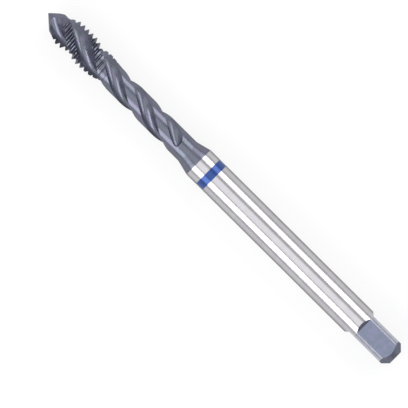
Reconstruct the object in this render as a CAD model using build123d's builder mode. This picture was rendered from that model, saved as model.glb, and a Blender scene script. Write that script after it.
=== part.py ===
"""Machine tap, M6 x 1, for blind holes: male centre point, right-hand spiral flutes, reduced neck,
round shank and drive square, ground from one bar of high speed steel.

The tap lies along X, with its point at -X and its drive square at +X. It rests on Z = 0 and the
origin is under the middle of its length. Lengths are in millimetres and angles in degrees. Places
along the tap are distances from the tip of its point.
"""

import os
from math import acos, atan2, ceil, cos, degrees, radians, sin, sqrt, tan

from build123d import *

# Lengths, from the tip to the drive end
overall_length = 85.5
point_length = 2.23
lead_length = 2.48
full_thread_length = 5.16
back_taper_length = 6.13
neck_length = 18.3
shoulder_length = 2.7
square_length = 7.8
end_chamfer_length = 1.6

# Diameters and blends of the turned blank
point_tip_diameter = 0.14
point_base_diameter = 4.2
thread_diameter = 6.0
neck_diameter = 4.6
shank_diameter = 6.0
end_face_diameter = 2.8
shoulder_blend_radius = 3.0

# Thread: a single right-hand start
thread_pitch = 1.0
thread_depth = 0.64 * thread_pitch
thread_root_flat = 0.10 * thread_pitch
thread_flank_angle = 30.0
thread_entry_ahead_of_lead = 0.4

# Flutes: right-hand spiral, ground a little shallower towards the shank. The land angle is that of
# a full tooth's crest. In its run-out a flute's outline shrinks to the end share of its size, and the
# squareness says how bluntly: 2 is round, more is blunter.
flute_count = 3
flute_lead = 23.25
flute_edge_angle_at_tip = -19.7
land_angle = 36.5
rake_angle = 10.0
hook_radius = 1.3
core_diameter = 2.1
core_rise_per_length = 0.010
flute_runout_length = 4.0
flute_end_squareness = 3.5
flute_end_share = 0.05
neck_past_flutes = 1.8

# Drive square: one of its four flats reaches further along the shank
square_across_flats = 4.9
long_flat_extra = 1.1
flat_runout_angle = 42.0

# How far a cutter stands out of the metal that it leaves: in general, over the thread's crests, and
# at the end of a flute
clear = 0.5
crest_clear = 0.04
flute_end_clear = 0.1

# Stations of the flute's loft: in one turn of the spiral, and in the run-out
stations_per_turn = 8
runout_steps = 5

thread_radius = thread_diameter / 2
neck_radius = neck_diameter / 2
shank_radius = shank_diameter / 2
axis_height = max(thread_radius, shank_radius)
tip_x = -overall_length / 2

lead_end = point_length + lead_length
full_thread_end = lead_end + full_thread_length
head_end = full_thread_end + back_taper_length
neck_end = head_end + neck_length
shoulder_end = neck_end + shoulder_length
flute_end = neck_end - neck_past_flutes
chamfer_start = overall_length - end_chamfer_length

tap_axis = Axis((tip_x, 0, axis_height), (1, 0, 0))
lengthwise_plane = Plane(origin=(tip_x, 0, axis_height), x_dir=(1, 0, 0), z_dir=(0, -1, 0))


def cross_plane(distance, turn):
    """The plane square to the axis at a distance from the tip. Its x direction points away from
    the axis, turned from straight up towards +Y."""
    outward = (0, sin(radians(turn)), cos(radians(turn)))
    return Plane(origin=(tip_x + distance, 0, axis_height), x_dir=outward, z_dir=(1, 0, 0))


# Turned blank: point, lead cone, thread cylinder, taper to the neck, shoulder cone and shank.
# The outline has the distance from the tip along x and the radius along y.
with BuildPart() as blank:
    with BuildSketch(lengthwise_plane) as blank_outline:
        with BuildLine():
            Polyline(
                (0, 0),
                (0, point_tip_diameter / 2),
                (point_length, point_base_diameter / 2),
                (lead_end, thread_radius),
                (full_thread_end, thread_radius),
                (head_end, neck_radius),
                (neck_end, neck_radius),
                (shoulder_end, shank_radius),
                (chamfer_start, shank_radius),
                (overall_length, end_face_diameter / 2),
                (overall_length, 0),
                close=True,
            )
        make_face()
        outline_corners = blank_outline.vertices().sort_by(Axis.X)
        shoulder_corners = outline_corners.filter_by_position(
            Axis.X, tip_x + neck_end - clear, tip_x + shoulder_end + clear
        )
        fillet(shoulder_corners, shoulder_blend_radius)
    revolve(axis=tap_axis)

# One turn of the thread groove: a truncated V swept along a helix at the root of the thread. The
# first turn passes outside the base of the point and the last one outside the neck.
root_radius = thread_radius - thread_depth
groove_depth = thread_depth + crest_clear
root_half_width = thread_root_flat / 2
mouth_half_width = root_half_width + groove_depth * tan(radians(thread_flank_angle))
thread_start = point_length - thread_entry_ahead_of_lead
thread_turns = ceil((head_end - thread_start) / thread_pitch)

with BuildPart() as groove_turn:
    with BuildLine() as root_helix:
        Helix(
            pitch=thread_pitch,
            height=thread_pitch,
            radius=root_radius,
            center=(tip_x + thread_start, 0, axis_height),
            direction=(1, 0, 0),
        )
    groove_plane = Plane(
        origin=root_helix.line @ 0,
        x_dir=cross_plane(thread_start, 0).x_dir,
        z_dir=root_helix.line % 0,
    )
    with BuildSketch(groove_plane):
        with BuildLine():
            Polyline(
                (0, -root_half_width),
                (groove_depth, -mouth_half_width),
                (groove_depth, mouth_half_width),
                (0, root_half_width),
                close=True,
            )
        make_face()
    sweep(path=root_helix.line, is_frenet=True)

# Space of one flute: a loft through its outline at stations along the tap, each turned with the
# spiral. Seen along the axis from the tip, the cutting face runs straight in from the cutting
# edge, the hook turns round the core, and the back runs straight out to the heel of the next land.
# The cutting edge of the full thread lies on the x direction of the station.
flute_angle = 360 / flute_count - land_angle
runout_start = flute_end - flute_runout_length
station_spacing = flute_lead / stations_per_turn
station_count = ceil((runout_start + clear) / station_spacing)
parallel_stations = [runout_start - station_spacing * step for step in range(station_count, 0, -1)]
runout_shares = [sin(radians(90 * step / runout_steps)) for step in range(runout_steps + 1)]
runout_stations = [runout_start + flute_runout_length * share for share in runout_shares]


def heading(angle):
    """The direction at an angle from the cutting edge, across the flute."""
    return Vector(cos(radians(angle)), -sin(radians(angle)))


def bearing(vector):
    """The angle of a vector in the station plane, anticlockwise from its x direction."""
    return degrees(atan2(vector.Y, vector.X))


def runout_share(distance):
    """The size of the flute's outline in the run-out, as a share of its size before it."""
    along = max(0, distance - runout_start) / flute_runout_length
    shrinking = (1 - min(1, along) ** flute_end_squareness) ** (1 / flute_end_squareness)
    return max(flute_end_share, shrinking)


def draw_flute_outline(distance):
    edge_heading = heading(rake_angle)
    into_flute = heading(rake_angle + 90)
    hook_offset = hook_radius - thread_radius * sin(radians(rake_angle))
    hook_reach = sqrt((core_diameter / 2 + hook_radius) ** 2 - hook_offset**2)
    hook_centre = into_flute * hook_offset + edge_heading * hook_reach
    hook_start = hook_centre - into_flute * hook_radius
    heel = heading(flute_angle) * thread_radius
    to_heel = heel - hook_centre
    back_bearing = bearing(to_heel) - degrees(acos(hook_radius / to_heel.length))
    hook_end = hook_centre + heading(-back_bearing) * hook_radius
    edge_top = heading(0) * thread_radius + edge_heading * clear
    heel_top = heel + (heel - hook_end).normalized() * clear
    outer_middle = heading(flute_angle / 2) * (thread_radius + 2 * clear)
    rise = heading(flute_angle / 2) * core_rise_per_length * distance
    vanishing_point = heading(flute_angle / 2) * (neck_radius + flute_end_clear)
    share = runout_share(distance)

    def placed(point):
        return vanishing_point + (point + rise - vanishing_point) * share

    Line(placed(edge_top), placed(hook_start))
    CenterArc(
        placed(hook_centre),
        hook_radius * share,
        bearing(hook_start - hook_centre),
        (back_bearing - bearing(hook_start - hook_centre)) % 360,
    )
    Line(placed(hook_end), placed(heel_top))
    ThreePointArc(placed(heel_top), placed(outer_middle), placed(edge_top))


with BuildPart() as flute_space:
    for distance in parallel_stations + runout_stations:
        turn = flute_edge_angle_at_tip - 360 * distance / flute_lead
        with BuildSketch(cross_plane(distance, turn)):
            with BuildLine():
                draw_flute_outline(distance)
            make_face()
    loft()

# What each flat of the drive square takes off: a slab over the flat that runs out up a slope.
flat_height = square_across_flats / 2
slab_height = shank_radius + clear
flat_runout_length = (slab_height - flat_height) / tan(radians(flat_runout_angle))
flat_starts = {0: 0, 90: 0, 180: 0, 270: long_flat_extra}

with BuildPart() as tap:
    add(blank.part)
    for turn_index in range(thread_turns):
        with Locations((turn_index * thread_pitch, 0, 0)):
            add(groove_turn.part, mode=Mode.SUBTRACT)
    for flute_index in range(flute_count):
        add(
            flute_space.part.rotate(tap_axis, flute_index * 360 / flute_count),
            mode=Mode.SUBTRACT,
        )
    for turn, extra in flat_starts.items():
        flat_start = overall_length - square_length - extra
        across_flat = cross_plane(0, turn)
        side_plane = Plane(origin=across_flat.origin, x_dir=(1, 0, 0), z_dir=across_flat.y_dir)
        with BuildSketch(side_plane):
            with BuildLine():
                Polyline(
                    (flat_start, flat_height),
                    (flat_start - flat_runout_length, slab_height),
                    (overall_length + clear, slab_height),
                    (overall_length + clear, flat_height),
                    close=True,
                )
            make_face()
        extrude(amount=slab_height, both=True, mode=Mode.SUBTRACT)

tap.part.label = "tap"
os.makedirs("parts", exist_ok=True)
export_step(tap.part, "parts/tap.step")
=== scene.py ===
"""Studio picture of the thread tap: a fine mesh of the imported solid's own form, with its coated, ground
and painted finishes, on a white floor under two long soft lamps.

The tap's form is worked out in millimetres and becomes metres when the mesh is made. A place along
the tap is its distance s from the tip of the point. Angles are in degrees. Round the tap's axis they
run from straight up towards +Y, and across a flute from its cutting edge towards its back.
"""

from math import acos, atan, cos, degrees, pi, radians, sin, sqrt, tan

import bmesh
import bpy
import numpy as np
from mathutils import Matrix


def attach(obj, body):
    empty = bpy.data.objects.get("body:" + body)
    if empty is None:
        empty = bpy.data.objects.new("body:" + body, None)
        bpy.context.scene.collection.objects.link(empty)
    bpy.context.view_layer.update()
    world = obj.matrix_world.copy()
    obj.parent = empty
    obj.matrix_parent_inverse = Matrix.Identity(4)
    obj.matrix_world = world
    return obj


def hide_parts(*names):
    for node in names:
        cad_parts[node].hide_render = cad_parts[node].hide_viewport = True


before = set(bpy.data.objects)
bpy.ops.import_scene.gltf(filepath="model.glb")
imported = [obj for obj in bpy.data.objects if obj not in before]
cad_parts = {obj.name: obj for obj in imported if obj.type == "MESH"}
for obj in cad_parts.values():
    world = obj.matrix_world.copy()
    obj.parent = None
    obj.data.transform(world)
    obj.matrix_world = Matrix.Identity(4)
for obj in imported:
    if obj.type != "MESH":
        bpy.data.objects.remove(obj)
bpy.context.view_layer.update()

MM = 0.001

# ------------------------------------------------------------------ sizes, as in the tap's CAD model
overall_length = 85.5
point_length = 2.23
lead_length = 2.48
full_thread_length = 5.16
back_taper_length = 6.13
neck_length = 18.3
shoulder_length = 2.7
square_length = 7.8
end_chamfer_length = 1.6

point_tip_diameter = 0.14
point_base_diameter = 4.2
thread_diameter = 6.0
neck_diameter = 4.6
shank_diameter = 6.0
end_face_diameter = 2.8
shoulder_blend_radius = 3.0

thread_pitch = 1.0
thread_depth = 0.64 * thread_pitch
thread_root_flat = 0.10 * thread_pitch
thread_flank_angle = 30.0
thread_entry_ahead_of_lead = 0.4

flute_count = 3
flute_lead = 23.25
flute_edge_angle_at_tip = -19.7
land_angle = 36.5
rake_angle = 10.0
hook_radius = 1.3
core_diameter = 2.1
core_rise_per_length = 0.010
flute_runout_length = 4.0
flute_end_squareness = 3.5
flute_end_share = 0.05
flute_end_clear = 0.1
neck_past_flutes = 1.8
clear = 0.5

flat_count = 4
square_across_flats = 4.9
long_flat_extra = 1.1
flat_runout_angle = 42.0

# The painted ring round the shank
ring_start = 39.3
ring_width = 1.6

thread_radius = thread_diameter / 2
neck_radius = neck_diameter / 2
shank_radius = shank_diameter / 2
root_radius = thread_radius - thread_depth
axis_height = max(thread_radius, shank_radius)
tip_x = -overall_length / 2

lead_end = point_length + lead_length
full_thread_end = lead_end + full_thread_length
head_end = full_thread_end + back_taper_length
neck_end = head_end + neck_length
shoulder_end = neck_end + shoulder_length
flute_end = neck_end - neck_past_flutes
runout_start = flute_end - flute_runout_length
chamfer_start = overall_length - end_chamfer_length
ring_end = ring_start + ring_width
third = 360 / flute_count
quarter_turn = 360 / flat_count

# ------------------------------------------------------------------ how fine the mesh is
# Steps round the tap: across a flute and its land, and across a flat and the corner after it
RAKE_STEPS = 3
HOOK_STEPS = 22
BACK_STEPS = 6
LAND_STEPS = 18
FLAT_STEPS = 4
CORNER_STEPS = 23

# Steps along the tap. Those of the flanks and the crest are for one pitch of the thread.
POINT_STEPS = 16
FLANK_STEPS = 2
CREST_STEPS = 5
NECK_STEPS = 50
RUNOUT_STEPS = 28
BLEND_STEPS = 6
SLOPE_STEPS = 10
SQUARE_STEPS = 5
CHAMFER_STEPS = 10
END_STEPS = 4

# How closely the flutes' edges are searched for, and the rows placed
DEEPEST_TRIES = 60
BISECTIONS = 28
PLACINGS = 12
PLACED = 1e-7

# Edges that bend more than this angle stay sharp, and points closer than this distance become one
SHARP_ANGLE = 12.0
MERGE_DISTANCE = 1e-4 * MM


def evenly(start, end, steps):
    """Distances from start to end in even steps."""
    return np.linspace(start, end, steps + 1)


def easing(start, end, steps, late=False):
    """Distances from start to end that lie closer together at the start, or at the end if late."""
    share = evenly(0, 1, steps) ** 2
    return end - (end - start) * share[::-1] if late else start + (end - start) * share


# ------------------------------------------------------------------ form: turned blank
shoulder_slope = atan((shank_radius - neck_radius) / shoulder_length)
blend_reach = shoulder_blend_radius * tan(shoulder_slope / 2)
blend_run = blend_reach * cos(shoulder_slope)
blend_foot = neck_end - blend_reach
blend_top = shoulder_end + blend_reach


def blank_radius(s):
    """Radius of the turned blank at distances s, with the blends at both ends of the shoulder."""
    outline = [
        (0, point_tip_diameter / 2),
        (point_length, point_base_diameter / 2),
        (lead_end, thread_radius),
        (full_thread_end, thread_radius),
        (head_end, neck_radius),
        (neck_end, neck_radius),
        (shoulder_end, shank_radius),
        (chamfer_start, shank_radius),
        (overall_length, end_face_diameter / 2),
    ]
    radius = np.interp(s, *zip(*outline))
    blend = shoulder_blend_radius
    foot_arc = neck_radius + blend - np.sqrt(np.maximum(blend**2 - (s - blend_foot) ** 2, 0))
    top_arc = shank_radius - blend + np.sqrt(np.maximum(blend**2 - (s - blend_top) ** 2, 0))
    radius = np.where((s > blend_foot) & (s < neck_end + blend_run), foot_arc, radius)
    return np.where((s > shoulder_end - blend_run) & (s < blend_top), top_arc, radius)


# ------------------------------------------------------------------ form: flutes
def heading(angle):
    """The unit vector at an angle, in the plane across the tap."""
    return np.stack([np.cos(np.radians(angle)), np.sin(np.radians(angle))], -1)


def bearing(vector):
    """The angle of a vector in the plane across the tap."""
    return np.degrees(np.arctan2(vector[..., 1], vector[..., 0]))


def length_of(vector):
    return np.hypot(vector[..., 0], vector[..., 1])


# The outline of a flute across the tap: straight in along the cutting face, round the hook, and
# straight out along the back. Its angles are measured from the cutting edge of the full thread.
flute_angle = third - land_angle
face_direction = heading(rake_angle)
into_flute = heading(rake_angle + 90)
hook_offset = hook_radius - thread_radius * sin(radians(rake_angle))
hook_reach = sqrt((core_diameter / 2 + hook_radius) ** 2 - hook_offset**2)
hook_centre = into_flute * hook_offset + face_direction * hook_reach
hook_start_angle = rake_angle - 90
hook_start = hook_centre + heading(hook_start_angle) * hook_radius
heel = heading(flute_angle) * thread_radius
centre_to_heel = heel - hook_centre
hook_end_angle = bearing(centre_to_heel) + degrees(acos(hook_radius / length_of(centre_to_heel)))
hook_end = hook_centre + heading(hook_end_angle) * hook_radius
hook_sweep = (hook_start_angle - hook_end_angle) % 360
face_top = heading(0) * thread_radius + face_direction * clear
back = heel - hook_end
back_direction = back / length_of(back)
face_length = length_of(face_top - hook_start)
hook_length = radians(hook_sweep) * hook_radius
back_length = length_of(back) + clear
hook_end_run = face_length + hook_length
outline_run = hook_end_run + back_length
flute_middle = heading(flute_angle / 2)
vanishing_point = flute_middle * (neck_radius + flute_end_clear)


def flute_outline(run):
    """Points of the outline at lengths run along it."""
    hook_angle = hook_start_angle - np.degrees((run - face_length) / hook_radius)
    on_face = face_top - face_direction * run[..., None]
    on_hook = hook_centre + heading(hook_angle) * hook_radius
    on_back = hook_end + back_direction * (run - hook_end_run)[..., None]
    past_face = (run > face_length)[..., None]
    past_hook = (run > hook_end_run)[..., None]
    return np.where(past_hook, on_back, np.where(past_face, on_hook, on_face))


def runout_share(s):
    """The size of the flute's outline in the run-out, as a share of its size before it."""
    along = np.clip((s - runout_start) / flute_runout_length, 0, 1)
    shrinking = (1 - along**flute_end_squareness) ** (1 / flute_end_squareness)
    return np.maximum(flute_end_share, shrinking)


def flute_point(run, s):
    """Points of a flute's surface: the outline, raised with the core and shrunk in the run-out."""
    rise = flute_middle * (core_rise_per_length * s)[..., None]
    full_size = flute_outline(run) + rise
    return vanishing_point + (full_size - vanishing_point) * runout_share(s)[..., None]


def deepest_run(s):
    """Where along the outline the flute comes nearest to the axis."""
    tries = np.linspace(face_length, hook_end_run, DEEPEST_TRIES)
    radii = length_of(flute_point(*np.broadcast_arrays(tries, s[..., None])))
    return tries[np.argmin(radii, -1)]


def crossing(radius, s, outer_run, inner_run):
    """Where the outline crosses a circle round the axis, between a run outside it and one inside it.
    Where the inner run isn't inside either, that run itself."""
    outside = np.full(s.shape, outer_run, float)
    inside = inner_run
    for _ in range(BISECTIONS):
        middle = (outside + inside) / 2
        is_outside = length_of(flute_point(middle, s)) > radius
        outside = np.where(is_outside, middle, outside)
        inside = np.where(is_outside, inside, middle)
    return inside


def spiral_turn(s):
    """Where the first cutting edge lies round the axis at distances s."""
    return flute_edge_angle_at_tip - 360 * s / flute_lead


# Columns of the fluted part, for one flute and the land behind it. Their marks run from 0 to 1 down
# the cutting face, to 2 round the hook, to 3 up the back, and to 4 across the land.
flute_marks = [
    *np.arange(RAKE_STEPS) / RAKE_STEPS,
    *1 + np.arange(HOOK_STEPS) / HOOK_STEPS,
    *2 + np.arange(BACK_STEPS) / BACK_STEPS,
    *3 + np.arange(LAND_STEPS) / LAND_STEPS,
]
column_marks = np.tile(flute_marks, flute_count)
column_turns = np.repeat(np.arange(flute_count) * third, len(flute_marks))
on_land = column_marks >= 3


def fluted_section(first_guess, place, land_radius):
    """A stretch of the fluted part as rows by columns: distances, angles and radii of its points. place
    says at what distance a row passes an angle, and land_radius how far out the land is there."""

    def laid_out(s):
        radius = land_radius(s)
        deepest = deepest_run(s)
        edge_run = crossing(radius, s, 0, deepest)
        heel_run = crossing(radius, s, outline_run, deepest)
        face_from = np.minimum(edge_run, face_length)
        back_to = np.maximum(heel_run, hook_end_run)
        run = (
            face_from
            + (face_length - face_from) * np.clip(column_marks, 0, 1)
            + hook_length * np.clip(column_marks - 1, 0, 1)
            + (back_to - hook_end_run) * np.clip(column_marks - 2, 0, 1)
        )
        point = flute_point(np.clip(run, edge_run, heel_run), s)
        edge_angle = bearing(flute_point(edge_run, s))
        heel_angle = bearing(flute_point(heel_run, s))
        land_share = np.clip(column_marks - 3, 0, 1)
        across_land = heel_angle + (third + edge_angle - heel_angle) * land_share
        angle = np.where(on_land, across_land, bearing(point))
        radius = np.where(on_land, radius, np.minimum(radius, length_of(point)))
        return angle + column_turns + spiral_turn(s), radius

    s = first_guess
    for _ in range(PLACINGS):
        before = s
        s = place(laid_out(s)[0], s)
        if np.abs(s - before).max() < PLACED:
            break
    return s, *laid_out(s)


def in_columns(distances):
    """Distances as rows, each the same in all the columns of the fluted part."""
    return np.repeat(np.reshape(distances, (-1, 1)), len(column_marks), 1)


def flat_rows(distances):
    """Rows of the fluted part that lie square to the axis."""
    rows = in_columns(distances)
    return fluted_section(rows, lambda angle, s: rows, blank_radius)


# ------------------------------------------------------------------ form: thread
# Rows of the threaded head follow the thread, and each has its place in the thread's profile: how far
# it is past the middle of its groove, how much of the thread's local height moves it on, and how high
# up the flank it is.
root_half_width = thread_root_flat / 2
thread_start = point_length - thread_entry_ahead_of_lead
flank_heights = evenly(0, 1, FLANK_STEPS)
crest_shares = np.arange(1, CREST_STEPS) / CREST_STEPS
profile = [
    *[(-root_half_width, -height, height) for height in flank_heights[::-1]],
    *[(root_half_width, height, height) for height in flank_heights],
    *[
        (root_half_width + share * (thread_pitch - thread_root_flat), 1 - 2 * share, 1)
        for share in crest_shares
    ],
]
rows_per_pitch = len(profile)
groove_count = int(np.ceil((head_end - thread_start) / thread_pitch))
groove_starts = thread_start + thread_pitch * np.arange(groove_count)
groove_middles = np.repeat(groove_starts, rows_per_pitch)[:, None]
profile_offset, profile_push, profile_height = np.tile(np.array(profile), (groove_count, 1)).T[..., None]


def thread_height(s):
    """Height of the thread's crests over their root at distances s."""
    return np.maximum(blank_radius(s) - root_radius, 0)


def thread_radius_at(s):
    """Radius of the head's rows at distances s."""
    on_profile = root_radius + profile_height * thread_height(s)
    return np.minimum(blank_radius(s), on_profile)


def thread_place(angle, s):
    """Distances at which the head's rows pass an angle. The last distances give the height there."""
    push = profile_push * thread_height(s) * tan(radians(thread_flank_angle))
    along = groove_middles + profile_offset + push - thread_pitch * angle / 360
    return np.clip(along, point_length, head_end)


# ------------------------------------------------------------------ form: shank and drive square
flat_height = square_across_flats / 2
flat_slope = tan(radians(flat_runout_angle))
flat_runout_length = (shank_radius - flat_height) / flat_slope
flat_turns = np.arange(flat_count) * quarter_turn
flat_starts = overall_length - square_length - np.array([0, 0, 0, long_flat_extra])

# Columns of the shank, for each quarter of a turn: across a flat from -1 to 1, then round the corner
# between two flats from 0 to 1
flat_marks = evenly(-1, 1, FLAT_STEPS)
corner_marks = np.arange(1, CORNER_STEPS) / CORNER_STEPS


def shank_section(distances):
    """The shank and drive square as rows by columns: distances, angles and radii of their points."""
    s = np.reshape(distances, (-1, 1))
    rim = blank_radius(s)
    heights = flat_height + np.maximum(flat_starts - s, 0) * flat_slope
    half_angles = np.degrees(np.arccos(np.minimum(heights / rim, 1)))
    next_half_angles = np.roll(half_angles, -1, 1)
    angles, radii = [], []
    for flat, turn in enumerate(flat_turns):
        half = half_angles[:, flat, None]
        next_half = next_half_angles[:, flat, None]
        on_flat = half * flat_marks
        height = heights[:, flat, None]
        angles += [turn + on_flat, turn + half + (quarter_turn - half - next_half) * corner_marks]
        radii += [
            np.minimum(rim, height / np.cos(np.radians(on_flat))),
            np.repeat(rim, len(corner_marks), 1),
        ]
    angles = np.hstack(angles)
    return np.repeat(s, angles.shape[1], 1), angles, np.hstack(radii)


# ------------------------------------------------------------------ the tap's mesh
# Its finishes, in the order in which they are made further on
COAT, FLUTE, STEEL, PAINT, DRIVE, SLOPE, CORNER, END = range(8)
fluted_finish = np.where(on_land, COAT, FLUTE)
points, faces, finishes = [], [], []


def add_points(s, angle, radius):
    """Adds rows of points and returns their numbers."""
    first = sum(len(block) for block in points)
    turn = np.radians(angle)
    block = np.stack([tip_x + s, radius * np.sin(turn), axis_height + radius * np.cos(turn)], -1)
    points.append(block.reshape(-1, 3))
    return first + np.arange(s.size).reshape(s.shape)


def add_rows(numbers, finish):
    """Faces between successive rows, whose last column closes the round. finish has one per face."""
    near, far = numbers[:-1], numbers[1:]
    quads = np.stack([near[:, :-1], near[:, 1:], far[:, 1:], far[:, :-1]], -1)
    faces.extend(quads.reshape(-1, 4).tolist())
    finishes.extend(np.broadcast_to(finish, quads.shape[:2]).ravel().tolist())


def closed(numbers):
    """Rows that end with their first column once more."""
    return np.hstack([numbers, numbers[:, :1]])


def join_rings(near, near_angles, far, far_angles, finish):
    """Triangles between two rings of different columns, which both run round the same way."""
    start = int(np.argmin((far_angles - near_angles[0]) % 360))
    far = np.roll(far, -start)
    far_steps = (np.roll(far_angles, -start) - near_angles[0]) % 360
    far_steps = np.append(far_steps, far_steps[0] + 360)
    near_steps = np.append(near_angles, near_angles[0] + 360) - near_angles[0]
    i = j = 0
    while i < len(near) or j < len(far):
        if j == len(far) or (i < len(near) and near_steps[i + 1] <= far_steps[j + 1]):
            faces.append([int(near[i]), int(near[(i + 1) % len(near)]), int(far[j % len(far)])])
            i += 1
        else:
            faces.append([int(near[i % len(near)]), int(far[(j + 1) % len(far)]), int(far[j])])
            j += 1
        finishes.append(finish)


def add_cap(ring, s, finish):
    """Triangles from a ring to a point on the axis."""
    centre = int(add_points(np.array([s]), np.zeros(1), np.zeros(1))[0])
    for start, end in zip(ring, np.roll(ring, -1)):
        faces.append([int(start), int(end), centre])
        finishes.append(finish)


def add_point():
    """Point of the tap, closed at its tip."""
    numbers = add_points(*flat_rows(evenly(0, point_length, POINT_STEPS)))
    add_rows(closed(numbers), fluted_finish)
    add_cap(numbers[0], 0.0, COAT)


def add_head():
    """Threaded head, where a row closes on the one a pitch before it."""
    first_guess = in_columns(groove_middles + profile_offset)
    numbers = add_points(*fluted_section(first_guess, thread_place, thread_radius_at))
    pitch_before = np.maximum(np.arange(len(numbers)) - rows_per_pitch, 0)
    add_rows(np.hstack([numbers, numbers[pitch_before, :1]]), fluted_finish)


def add_neck(end):
    """Neck, with the ends of the flutes. Gives its last ring of points and their angles."""
    runout_rows = runout_start + flute_runout_length * np.sin(evenly(0, pi / 2, RUNOUT_STEPS))
    neck_rows = evenly(head_end, runout_start, NECK_STEPS)[:-1]
    s, angle, radius = flat_rows([*neck_rows, *runout_rows, end])
    numbers = add_points(s, angle, radius)
    add_rows(closed(numbers), fluted_finish)
    return numbers[-1], angle[-1]


def add_shank(start):
    """Shoulder, shank and drive square. Gives their first ring of points and their angles."""
    long_start, flat_start = flat_starts.min(), flat_starts.max()
    flat_top_end = chamfer_start + shank_radius - flat_height
    s, angle, radius = shank_section([
        start,
        *evenly(blend_foot, neck_end + blend_run, BLEND_STEPS),
        *evenly(shoulder_end - blend_run, shoulder_end, BLEND_STEPS // 2),
        *evenly(shoulder_end, blend_top, BLEND_STEPS // 2)[1:],
        ring_start,
        ring_end,
        *easing(long_start - flat_runout_length, long_start, SLOPE_STEPS),
        *easing(flat_start - flat_runout_length, flat_start, SLOPE_STEPS),
        *evenly(flat_start, chamfer_start, SQUARE_STEPS)[1:],
        *easing(chamfer_start, flat_top_end, CHAMFER_STEPS, late=True)[1:],
        *evenly(flat_top_end, overall_length, END_STEPS)[1:],
    ])
    numbers = add_points(s, angle, radius)
    middles = (s[1:, :1] + s[:-1, :1]) / 2
    across_a_flat = np.arange(FLAT_STEPS + CORNER_STEPS) < FLAT_STEPS
    before_flats = np.repeat(flat_starts, len(across_a_flat)) - middles
    on_flats = np.tile(across_a_flat, flat_count) & (before_flats < flat_runout_length)
    where = {
        COAT: middles < shoulder_end,
        PAINT: (middles > ring_start) & (middles < ring_end),
        SLOPE: on_flats & (before_flats > 0),
        DRIVE: on_flats,
        END: middles > chamfer_start,
        CORNER: middles > flat_start,
    }
    add_rows(closed(numbers), np.select(list(where.values()), list(where), STEEL))
    add_cap(numbers[-1], overall_length, END)
    return numbers[0], angle[0]


def make_tap():
    """The tap as one closed mesh, smooth except at its sharp edges."""
    mesh = bpy.data.meshes.new("tap_body")
    mesh.from_pydata((np.vstack(points) * MM).tolist(), [], faces)
    mesh.polygons.foreach_set("material_index", finishes)
    form = bmesh.new()
    form.from_mesh(mesh)
    bmesh.ops.remove_doubles(form, verts=form.verts, dist=MERGE_DISTANCE)
    bmesh.ops.recalc_face_normals(form, faces=form.faces)
    for face in form.faces:
        face.smooth = True
    for edge in form.edges:
        edge.smooth = edge.calc_face_angle(0) < radians(SHARP_ANGLE)
    form.to_mesh(mesh)
    form.free()
    tap = bpy.data.objects.new("tap_body", mesh)
    bpy.context.scene.collection.objects.link(tap)
    return tap


# The flutes' columns and the shank's meet on the plain neck between them
plain_neck_length = blend_foot - flute_end
add_point()
add_head()
neck_ring = add_neck(flute_end + plain_neck_length / 3)
shank_ring = add_shank(flute_end + plain_neck_length * 2 / 3)
join_rings(*neck_ring, *shank_ring, COAT)

tap = make_tap()
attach(tap, "root")
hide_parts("tap")


# ------------------------------------------------------------------ finishes
# Grain sizes and depths are in millimetres, and colours are linear. Most values of the marks' noise
# lie between these two.
MARKS_LOW = 0.3
MARKS_HIGH = 0.7

# How far from the axis the flats begin to turn lighter, how far they turn at their edges, and the
# steel's grey they turn to: partly the film worn off, partly a painted highlight along the edges
WEAR_AND_HIGHLIGHT_FROM = (2.88, 2.95)
EDGE_WEAR_AND_HIGHLIGHT = 0.75
WORN_AND_HIGHLIT_GREY = 0.66


def grey(value):
    return (value, value, value, 1)


class Nodes:
    """The nodes of a material or of the world, added one by one."""

    def __init__(self, owner):
        owner.use_nodes = True
        self.tree = owner.node_tree

    def add(self, kind, inputs, **settings):
        """The first output of a new node with these inputs and settings."""
        node = self.tree.nodes.new("ShaderNode" + kind)
        for key, value in settings.items():
            setattr(node, key, value)
        self.feed(node, inputs)
        return node.outputs[0]

    def feed(self, node, inputs):
        """Links each named or numbered input, or gives it a value."""
        for key, value in inputs.items():
            if isinstance(value, bpy.types.NodeSocket):
                self.tree.links.new(value, node.inputs[key])
            else:
                node.inputs[key].default_value = value

    def given(self, kind):
        """What a node without inputs gives."""
        return self.tree.nodes.new("ShaderNode" + kind).outputs

    def coordinates(self, vector):
        """A vector's three coordinates."""
        node = self.tree.nodes.new("ShaderNodeSeparateXYZ")
        self.feed(node, {0: vector})
        return node.outputs

    def maths(self, operation, *values, **settings):
        return self.add("Math", dict(enumerate(values)), operation=operation, **settings)

    def between(self, value, start, end, low, high, **settings):
        """What goes from low to high as the value goes from start to end."""
        return self.add("MapRange", {0: value, 1: start, 2: end, 3: low, 4: high}, **settings)


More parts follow.
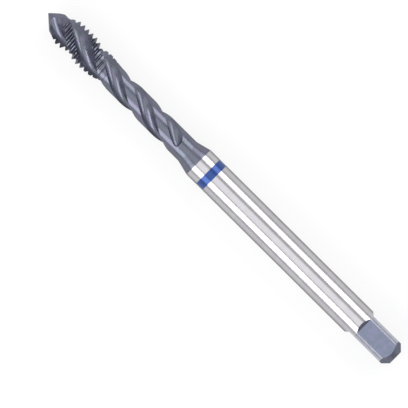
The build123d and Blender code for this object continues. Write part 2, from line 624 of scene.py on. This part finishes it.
class Finish(Nodes):
    """A metallic material of the tap. The edge tint is how much of its gloss is left where it is seen
    at a glancing angle."""

    def __init__(self, name, metallic, edge_tint):
        material = bpy.data.materials.new(name)
        super().__init__(material)
        self.shader = self.tree.nodes["Principled BSDF"]
        self.feed(self.shader, {"Metallic": metallic, "Specular Tint": grey(edge_tint)})
        self.place = self.given("TexCoord")["Object"]
        tap.data.materials.append(material)

    def from_axis(self):
        """The place's coordinates along the tap, across it and up, measured from its axis."""
        along, across, height = self.coordinates(self.place)
        return along, across, self.maths("SUBTRACT", height, axis_height * MM)

    def marks(self, place, sizes_mm, detail=2.0):
        """Noise whose grains have these sizes along X, Y and Z."""
        scale = [1 / (size * MM) for size in sizes_mm]
        stretched = self.add("VectorMath", {0: place, 1: scale}, operation="MULTIPLY")
        return self.add("TexNoise", {"Vector": stretched, "Scale": 1.0, "Detail": detail})

    def ramp(self, value, dark, light, start=MARKS_LOW, end=MARKS_HIGH):
        """The colour that goes from dark to light as the value goes from start to end."""
        node = self.tree.nodes.new("ShaderNodeValToRGB")
        self.feed(node, {0: value})
        for element, position, colour in zip(node.color_ramp.elements, (start, end), (dark, light)):
            element.position = position
            element.color = (*colour, 1)
        return node.outputs[0]

    def mix(self, first, second, share=0.5):
        """A mixture with this share of the second."""
        return self.add("MixRGB", {0: share, 1: first, 2: second})

    def colour(self, value):
        self.feed(self.shader, {"Base Color": value})

    def rough(self, marks, low, high):
        """Roughness that the marks vary from low to high."""
        self.feed(self.shader, {"Roughness": self.between(marks, MARKS_LOW, MARKS_HIGH, low, high)})

    def relief(self, height, depth_mm, strength):
        bump = self.add("Bump", {"Height": height, "Distance": depth_mm * MM, "Strength": strength})
        self.feed(self.shader, {"Normal": bump})


def make_coat():
    """Blue-grey coating on ground steel, with the rings of its grinding and clouds of violet."""
    coat = Finish("coated_steel", metallic=0.8, edge_tint=0.5)
    rings = coat.marks(coat.place, (0.07, 4, 4))
    clouds = coat.marks(coat.place, (2.6, 1.3, 1.3))
    tone = coat.ramp(rings, (0.13, 0.138, 0.18), (0.177, 0.186, 0.235))
    shaded = coat.ramp(clouds, (0.132, 0.158, 0.186), (0.18, 0.163, 0.245), 0.35, 0.65)
    coat.colour(coat.mix(tone, shaded))
    coat.rough(clouds, 0.22, 0.28)
    coat.relief(rings, depth_mm=0.004, strength=0.25)


def make_flute():
    """The coating on the flutes, where the grinding wheel's streaks run along the spiral."""
    flute = Finish("coated_flute", metallic=0.8, edge_tint=0.5)
    along, across, up = flute.from_axis()
    turn = flute.maths("MULTIPLY", along, -2 * pi / (flute_lead * MM))
    centred = flute.add("CombineXYZ", {1: across, 2: up})
    unwound = flute.add("VectorRotate", {"Vector": centred, "Angle": turn}, rotation_type="X_AXIS")
    _, unwound_across, unwound_up = flute.coordinates(unwound)
    straight = flute.add("CombineXYZ", {0: along, 1: unwound_across, 2: unwound_up})
    fine = flute.marks(straight, (6, 0.06, 0.06))
    broad = flute.marks(straight, (4, 0.2, 0.2), detail=3.0)
    clouds = flute.marks(flute.place, (2.2, 1.1, 1.1))
    tone = flute.ramp(broad, (0.13, 0.14, 0.176), (0.205, 0.215, 0.27), 0.32, 0.68)
    shaded = flute.ramp(clouds, (0.136, 0.168, 0.194), (0.19, 0.17, 0.262), 0.35, 0.65)
    flute.colour(flute.mix(tone, shaded))
    flute.rough(broad, 0.17, 0.3)
    flute.relief(flute.mix(fine, broad, 0.7), depth_mm=0.03, strength=0.8)


def make_steel():
    """Bright steel, ground round."""
    steel = Finish("ground_steel", metallic=1.0, edge_tint=0.3)
    rings = steel.marks(steel.place, (0.05, 5, 5))
    bands = steel.marks(steel.place, (1.6, 9, 9))
    fine = steel.ramp(rings, (0.478, 0.468, 0.49), (0.6, 0.588, 0.615))
    broad = steel.ramp(bands, (0.514, 0.498, 0.524), (0.566, 0.56, 0.582))
    steel.colour(steel.mix(fine, broad))
    steel.rough(rings, 0.13, 0.2)
    steel.relief(rings, depth_mm=0.002, strength=0.25)


def make_paint():
    """Blue lacquer of the ring round the shank."""
    paint = Finish("blue_ring", metallic=0.7, edge_tint=0.4)
    rings = paint.marks(paint.place, (0.12, 3, 3))
    paint.feed(paint.shader, {"Coat Weight": 0.6, "Coat IOR": 1.6, "Coat Roughness": 0.16})
    paint.colour(paint.ramp(rings, (0.008, 0.044, 0.215), (0.016, 0.066, 0.285)))
    paint.rough(rings, 0.22, 0.34)
    paint.relief(rings, depth_mm=0.004, strength=0.3)


def make_drive():
    """Flats of the drive square, finely milled, with a film of blue and violet that turns lighter along
    their edges: partly worn off there, partly a painted highlight."""
    drive = Finish("milled_flats", metallic=1.0, edge_tint=0.6)
    lines = drive.marks(drive.place, (0.09, 3, 3))
    clouds = drive.marks(drive.place, (1.1, 0.8, 0.8), detail=3.0)
    tone = drive.ramp(lines, (0.186, 0.205, 0.286), (0.246, 0.266, 0.362))
    shaded = drive.ramp(clouds, (0.158, 0.212, 0.262), (0.262, 0.248, 0.386), 0.4, 0.6)
    _, across, up = drive.from_axis()
    squared = drive.maths("ADD", drive.maths("POWER", across, 2.0), drive.maths("POWER", up, 2.0))
    from_axis = drive.maths("SQRT", squared)
    # Painted highlight and wear: towards the flats' edges the colour turns to a lighter steel grey.
    wear_and_highlight_from = drive.between(clouds, MARKS_LOW, MARKS_HIGH, *(radius * MM for radius in WEAR_AND_HIGHLIGHT_FROM))
    worn_and_highlit = drive.between(from_axis, wear_and_highlight_from, shank_radius * MM, 0.0, EDGE_WEAR_AND_HIGHLIGHT)
    drive.colour(drive.mix(drive.mix(tone, shaded), grey(WORN_AND_HIGHLIT_GREY), worn_and_highlit))
    drive.rough(clouds, 0.34, 0.44)
    drive.relief(lines, depth_mm=0.005, strength=0.4)


def make_slope():
    """Slopes in which the flats run out, milled as they are, lighter than the flats: painted light
    that lifts the darkness they take from the room's dark drive end.
    """
    slope = Finish("milled_slopes_painted_light", metallic=1.0, edge_tint=0.6)
    lines = slope.marks(slope.place, (0.09, 3, 3))
    # Painted light: the slopes' colour is lighter than the flats' to lift their darkness.
    slope.colour(slope.ramp(lines, (0.345, 0.365, 0.47), (0.405, 0.425, 0.53)))
    slope.feed(slope.shader, {"Roughness": 0.38})
    slope.relief(lines, depth_mm=0.005, strength=0.4)


def make_corner():
    """Corners of the drive square: the ground shank, dulled by the same film."""
    corner = Finish("dulled_corners", metallic=1.0, edge_tint=0.3)
    rings = corner.marks(corner.place, (0.08, 4, 4))
    patches = corner.marks(corner.place, (0.8, 0.5, 0.5))
    tone = corner.ramp(rings, (0.42, 0.43, 0.51), (0.52, 0.53, 0.61))
    shaded = corner.ramp(patches, (0.4, 0.42, 0.53), (0.54, 0.54, 0.59), 0.35, 0.65)
    corner.colour(corner.mix(tone, shaded))
    corner.rough(patches, 0.12, 0.2)
    corner.relief(rings, depth_mm=0.003, strength=0.3)


def make_end():
    """Turned chamfer and face at the drive end."""
    end = Finish("turned_end", metallic=1.0, edge_tint=0.5)
    rings = end.marks(end.place, (0.06, 1.2, 1.2))
    patches = end.marks(end.place, (0.7, 0.7, 0.7))
    tone = end.ramp(rings, (0.144, 0.151, 0.198), (0.21, 0.217, 0.278))
    shaded = end.ramp(patches, (0.144, 0.164, 0.198), (0.21, 0.202, 0.278), 0.35, 0.65)
    end.colour(end.mix(tone, shaded))
    end.rough(rings, 0.3, 0.42)
    end.relief(rings, depth_mm=0.005, strength=0.4)


make_coat()
make_flute()
make_steel()
make_paint()
make_drive()
make_slope()
make_corner()
make_end()

# ------------------------------------------------------------------ floor
FLOOR_SIDE = 6.0
FLOOR_WHITE = 0.93
FLOOR_OWN_LIGHT = 0.8


def make_floor():
    """White floor. Part of its whiteness, as the camera and bright metal see it, is its own light."""
    mesh = bpy.data.meshes.new("floor")
    half = FLOOR_SIDE / 2
    corners = [(-half, -half, 0), (half, -half, 0), (half, half, 0), (-half, half, 0)]
    mesh.from_pydata(corners, [], [(0, 1, 2, 3)])
    floor = bpy.data.objects.new("floor", mesh)
    bpy.context.scene.collection.objects.link(floor)
    material = bpy.data.materials.new("white_floor")
    white = Nodes(material)
    white.tree.nodes.remove(white.tree.nodes["Principled BSDF"])
    rays = white.given("LightPath")
    seen = white.maths("ADD", rays["Is Camera Ray"], rays["Is Glossy Ray"])
    seen_by_any = white.maths("ADD", seen, rays["Is Transmission Ray"], use_clamp=True)
    share = white.maths("MULTIPLY", seen_by_any, FLOOR_OWN_LIGHT)
    diffuse = white.add("BsdfDiffuse", {"Color": grey(FLOOR_WHITE)})
    glow = white.add("Emission", {})
    mixed = white.add("MixShader", {0: share, 1: diffuse, 2: glow})
    white.feed(white.tree.nodes["Material Output"], {0: mixed})
    mesh.materials.append(material)


make_floor()

# ------------------------------------------------------------------ light
# The room's levels, where 1 is white. Its bands and the card's reach are stretches of a unit
# direction's coordinates, and the card's edges and blur are angles round the tap's axis.
ROOM_GREY = 0.65
HORIZON_GREY = 0.7
HORIZON_BAND = (0.1, 0.5)
DARK_END_BAND = (0.3, 0.9)
DARK_END_SHARE = 0.245
CARD_WHITE = 1.36
CARD_EDGES = (-24.5, 16.0)
CARD_BLUR = 3.0
CARD_REACH = (0.55, 0.8)

# The lamps, in metres
LAMP_DISTANCE = 0.4
LAMP_LENGTH = 0.42


def make_world():
    """Grey room, a little lighter at its horizon and darker beyond the drive end, with a white card
    over the tap."""
    world = bpy.data.worlds.new("studio")
    bpy.context.scene.world = world
    room = Nodes(world)

    def blend(value, start, end, low, high):
        return room.between(value, start, end, low, high, interpolation_type="SMOOTHSTEP")

    along, across, up = room.coordinates(room.given("TexCoord")["Generated"])
    turn = room.maths("ARCTAN2", across, up)
    card_start, card_end = (radians(edge) for edge in CARD_EDGES)
    blur = radians(CARD_BLUR)
    past_start = blend(turn, card_start - blur, card_start + blur, 0, 1)
    before_end = blend(turn, card_end - blur, card_end + blur, 1, 0)
    in_reach = blend(room.maths("ABSOLUTE", along), *CARD_REACH, 1, 0)
    on_card = room.maths("MULTIPLY", room.maths("MULTIPLY", past_start, before_end), in_reach)
    walls = blend(up, *HORIZON_BAND, HORIZON_GREY, ROOM_GREY)
    level = room.add("Mix", {0: on_card, 2: walls, 3: CARD_WHITE})
    end_share = blend(along, *DARK_END_BAND, 1, DARK_END_SHARE)
    strength = room.maths("MULTIPLY", level, end_share)
    room.feed(room.tree.nodes["Background"], {"Color": grey(1.0), "Strength": strength})


def make_lamp(name, angle, width, power):
    """A long soft lamp beside the tap, at an angle from straight up towards +Y."""
    light = bpy.data.lights.new(name, "AREA")
    light.shape = "RECTANGLE"
    light.size, light.size_y = LAMP_LENGTH, width
    light.energy = power
    lamp = bpy.data.objects.new(name, light)
    lamp.rotation_euler = (radians(-angle), 0, 0)
    lamp.location = (
        0,
        LAMP_DISTANCE * sin(radians(angle)),
        axis_height * MM + LAMP_DISTANCE * cos(radians(angle)),
    )
    lamp.visible_camera = False
    bpy.context.scene.collection.objects.link(lamp)


make_world()
make_lamp("lamp_left", angle=53.0, width=0.23, power=0.67)
make_lamp("lamp_right", angle=-51.5, width=0.25, power=0.86)

# ------------------------------------------------------------------ camera
# The view's width and centre at the height of the tap's axis, in millimetres
VIEW_WIDTH = 71.37
VIEW_CENTRE = (0.07, -4.503)
VIEW_TURN = 44.8036
LENS = 800.0
SENSOR = 36.0


def make_camera():
    """The camera looks straight down, with the tap's point at the upper left."""
    lens = bpy.data.cameras.new("camera")
    lens.lens = LENS
    lens.sensor_width = SENSOR
    camera = bpy.data.objects.new("camera", lens)
    distance = VIEW_WIDTH * LENS / SENSOR
    camera.location = [VIEW_CENTRE[0] * MM, VIEW_CENTRE[1] * MM, (axis_height + distance) * MM]
    camera.rotation_euler = (0, 0, radians(VIEW_TURN))
    bpy.context.scene.collection.objects.link(camera)
    bpy.context.scene.camera = camera


make_camera()
bpy.context.scene.view_settings.view_transform = "Standard"
